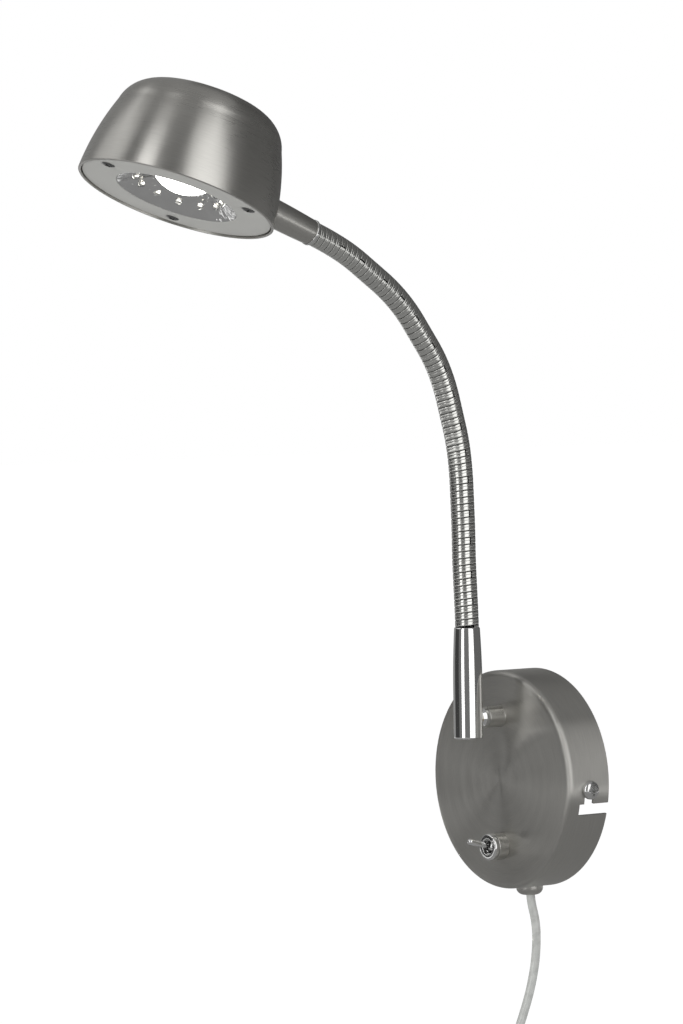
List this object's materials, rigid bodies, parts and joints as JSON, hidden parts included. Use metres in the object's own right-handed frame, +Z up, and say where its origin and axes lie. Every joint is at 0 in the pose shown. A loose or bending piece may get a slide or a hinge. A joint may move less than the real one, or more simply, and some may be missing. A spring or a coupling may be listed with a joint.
{
  "type": "wall reading lamp",
  "caption": "Bedside wall reading lamp: a round brushed canopy with a toggle switch carries a ribbed flexible neck and a bell-shaped head with a recessed light.",
  "frame": {"origin": "centre of the round canopy's back rim, on the wall, midway between the strap's two slots", "axes": "+Y points into the wall, the lamp stands out along -Y; +Z is up; +X is to the right for someone who faces the wall"},
  "size_m": [0.1058, 0.2394, 0.6026],
  "materials": {
    "zinc_steel": "zinc plated, dull",
    "side_screw": "polished, cross recess",
    "canopy_brushed": "vertical brushing on the face",
    "barrel_brushed": "turned",
    "bright_ring": "polished",
    "nipple_brass": "plain",
    "tube_chrome": "mirror polished",
    "tube_plug": "polished",
    "switch_chrome": "satin to polished",
    "switch_dark": "dark, worn",
    "switch_case": "moulded",
    "driver_case": "moulded",
    "block_plastic": "moulded",
    "wire_white": "pvc",
    "neck_chrome": "wound and polished",
    "bushing_steel": "turned",
    "cord_pvc": "clear over tinned cores",
    "tie_plastic": "strap",
    "plug_plastic": "moulded",
    "plug_pin": "nickel plated",
    "lever_chrome": "polished",
    "collar_brushed": "turned",
    "shell_brushed": "spun and brushed round its axis",
    "plate_grey": "matte light grey",
    "plate_screw": "dark cross recess",
    "reflector_mirror": "vacuum metallised",
    "board_white": "solder mask",
    "led_clear": "clear resin",
    "light_lens": "lit diffuse dome",
    "sink_aluminium": "extruded"
  },
  "bodies": {
    "bracket": {"wall_bracket": "zinc_steel", "side_screws": "side_screw"},
    "canopy": {"canopy_cover": "canopy_brushed", "spacer_barrel": "barrel_brushed", "spacer_ring": "bright_ring", "neck_nipple": "nipple_brass", "nipple_washer": "zinc_steel", "nipple_nut": "zinc_steel", "base_tube": "tube_chrome", "tube_plug": "tube_plug", "switch_barrel": "switch_chrome", "switch_cap": "switch_chrome", "switch_bushing": "switch_dark", "switch_nut": "zinc_steel", "switch_body": "switch_case", "led_driver": "driver_case", "terminal_block": "block_plastic", "canopy_wires": "wire_white", "neck_root": "neck_chrome", "cord_bushing": "bushing_steel", "bushing_nut": "zinc_steel", "cord": "cord_pvc", "cord_coil": "cord_pvc", "cord_tie": "tie_plastic", "cord_tail": "cord_pvc", "plug_body": "plug_plastic", "plug_pins": "plug_pin"},
    "switch_lever": {"switch_lever": "lever_chrome"},
    "link_01": {"neck_link_01": "neck_chrome"},
    "link_02": {"neck_link_02": "neck_chrome"},
    "link_03": {"neck_link_03": "neck_chrome"},
    "link_04": {"neck_link_04": "neck_chrome"},
    "link_05": {"neck_link_05": "neck_chrome"},
    "link_06": {"neck_link_06": "neck_chrome"},
    "link_07": {"neck_link_07": "neck_chrome"},
    "link_08": {"neck_link_08": "neck_chrome"},
    "link_09": {"neck_link_09": "neck_chrome"},
    "link_10": {"neck_link_10": "neck_chrome"},
    "link_11": {"neck_link_11": "neck_chrome"},
    "link_12": {"neck_link_12": "neck_chrome"},
    "link_13": {"neck_link_13": "neck_chrome"},
    "link_14": {"neck_link_14": "neck_chrome"},
    "link_15": {"neck_link_15": "neck_chrome"},
    "head": {"neck_tip": "neck_chrome", "head_collar": "collar_brushed", "collar_ring": "bright_ring", "collar_washer": "zinc_steel", "collar_nut": "zinc_steel", "head_shell": "shell_brushed", "face_plate": "plate_grey", "plate_screws": "plate_screw", "shell_lugs": "zinc_steel", "reflector": "reflector_mirror", "led_board": "board_white", "led_domes": "led_clear", "centre_light": "light_lens", "heat_sink": "sink_aluminium", "head_wires": "wire_white"}
  },
  "joints": [
    {"name": "canopy_twist", "type": "hinge", "parent": "bracket", "child": "canopy", "pos_m": [0, 0, 0], "axis": [0, -1, 0], "range_deg": [0, 10.4]},
    {"name": "switch_toggle", "type": "hinge", "parent": "canopy", "child": "switch_lever", "pos_m": [0, -0.0281, -0.0304], "axis": [1, 0, 0], "range_deg": [0, 28]},
    {"name": "neck_bend_1", "type": "hinge", "parent": "canopy", "child": "link_01", "pos_m": [0, -0.0411, 0.0747], "axis": [1, 0, 0], "range_deg": [-5, 6]},
    {"name": "neck_sway_1", "type": "hinge", "parent": "link_01", "child": "link_02", "pos_m": [0, -0.04168, 0.08809], "axis": [0, 0.999, 0.0436], "range_deg": [-15, 15]},
    {"name": "neck_bend_2", "type": "hinge", "parent": "link_02", "child": "link_03", "pos_m": [0, -0.04227, 0.10147], "axis": [1, 0, 0], "range_deg": [-5, 6]},
    {"name": "neck_bend_3", "type": "hinge", "parent": "link_03", "child": "link_04", "pos_m": [0, -0.04227, 0.11487], "axis": [1, 0, 0], "range_deg": [-5, 6]},
    {"name": "neck_sway_2", "type": "hinge", "parent": "link_04", "child": "link_05", "pos_m": [0, -0.04274, 0.12827], "axis": [0, 0.9994, 0.0349], "range_deg": [-15, 15]},
    {"name": "neck_bend_4", "type": "hinge", "parent": "link_05", "child": "link_06", "pos_m": [0, -0.0432, 0.14166], "axis": [1, 0, 0], "range_deg": [-5, 6]},
    {"name": "neck_bend_5", "type": "hinge", "parent": "link_06", "child": "link_07", "pos_m": [0, -0.04484, 0.15496], "axis": [1, 0, 0], "range_deg": [-5, 6]},
    {"name": "neck_sway_3", "type": "hinge", "parent": "link_07", "child": "link_08", "pos_m": [0, -0.04831, 0.1679], "axis": [0, 0.9659, 0.2588], "range_deg": [-15, 15]},
    {"name": "neck_bend_6", "type": "hinge", "parent": "link_08", "child": "link_09", "pos_m": [0, -0.05177, 0.18085], "axis": [1, 0, 0], "range_deg": [-5, 6]},
    {"name": "neck_bend_7", "type": "hinge", "parent": "link_09", "child": "link_10", "pos_m": [0, -0.05733, 0.19304], "axis": [1, 0, 0], "range_deg": [-5, 6]},
    {"name": "neck_sway_4", "type": "hinge", "parent": "link_10", "child": "link_11", "pos_m": [0, -0.06511, 0.20395], "axis": [0, 0.8141, 0.5807], "range_deg": [-15, 15]},
    {"name": "neck_bend_8", "type": "hinge", "parent": "link_11", "child": "link_12", "pos_m": [0, -0.07289, 0.21486], "axis": [1, 0, 0], "range_deg": [-5, 6]},
    {"name": "neck_bend_9", "type": "hinge", "parent": "link_12", "child": "link_13", "pos_m": [0, -0.08245, 0.22425], "axis": [1, 0, 0], "range_deg": [-5, 6]},
    {"name": "neck_sway_5", "type": "hinge", "parent": "link_13", "child": "link_14", "pos_m": [0, -0.09336, 0.23203], "axis": [0, 0.5807, 0.8141], "range_deg": [-15, 15]},
    {"name": "neck_bend_10", "type": "hinge", "parent": "link_14", "child": "link_15", "pos_m": [0, -0.10427, 0.23981], "axis": [1, 0, 0], "range_deg": [-5, 6]},
    {"name": "neck_bend_11", "type": "hinge", "parent": "link_15", "child": "head", "pos_m": [0, -0.11616, 0.246], "axis": [1, 0, 0], "range_deg": [-5, 6]}
  ],
  "couplings": [
    {"joint": "neck_bend_2", "follows": "neck_bend_1", "ratio": 1},
    {"joint": "neck_bend_3", "follows": "neck_bend_1", "ratio": 1},
    {"joint": "neck_sway_2", "follows": "neck_sway_1", "ratio": 1},
    {"joint": "neck_bend_4", "follows": "neck_bend_1", "ratio": 1},
    {"joint": "neck_bend_5", "follows": "neck_bend_1", "ratio": 1},
    {"joint": "neck_sway_3", "follows": "neck_sway_1", "ratio": 1},
    {"joint": "neck_bend_6", "follows": "neck_bend_1", "ratio": 1},
    {"joint": "neck_bend_7", "follows": "neck_bend_1", "ratio": 1},
    {"joint": "neck_sway_4", "follows": "neck_sway_1", "ratio": 1},
    {"joint": "neck_bend_8", "follows": "neck_bend_1", "ratio": 1},
    {"joint": "neck_bend_9", "follows": "neck_bend_1", "ratio": 1},
    {"joint": "neck_sway_5", "follows": "neck_sway_1", "ratio": 1},
    {"joint": "neck_bend_10", "follows": "neck_bend_1", "ratio": 1},
    {"joint": "neck_bend_11", "follows": "neck_bend_1", "ratio": 1}
  ]
}
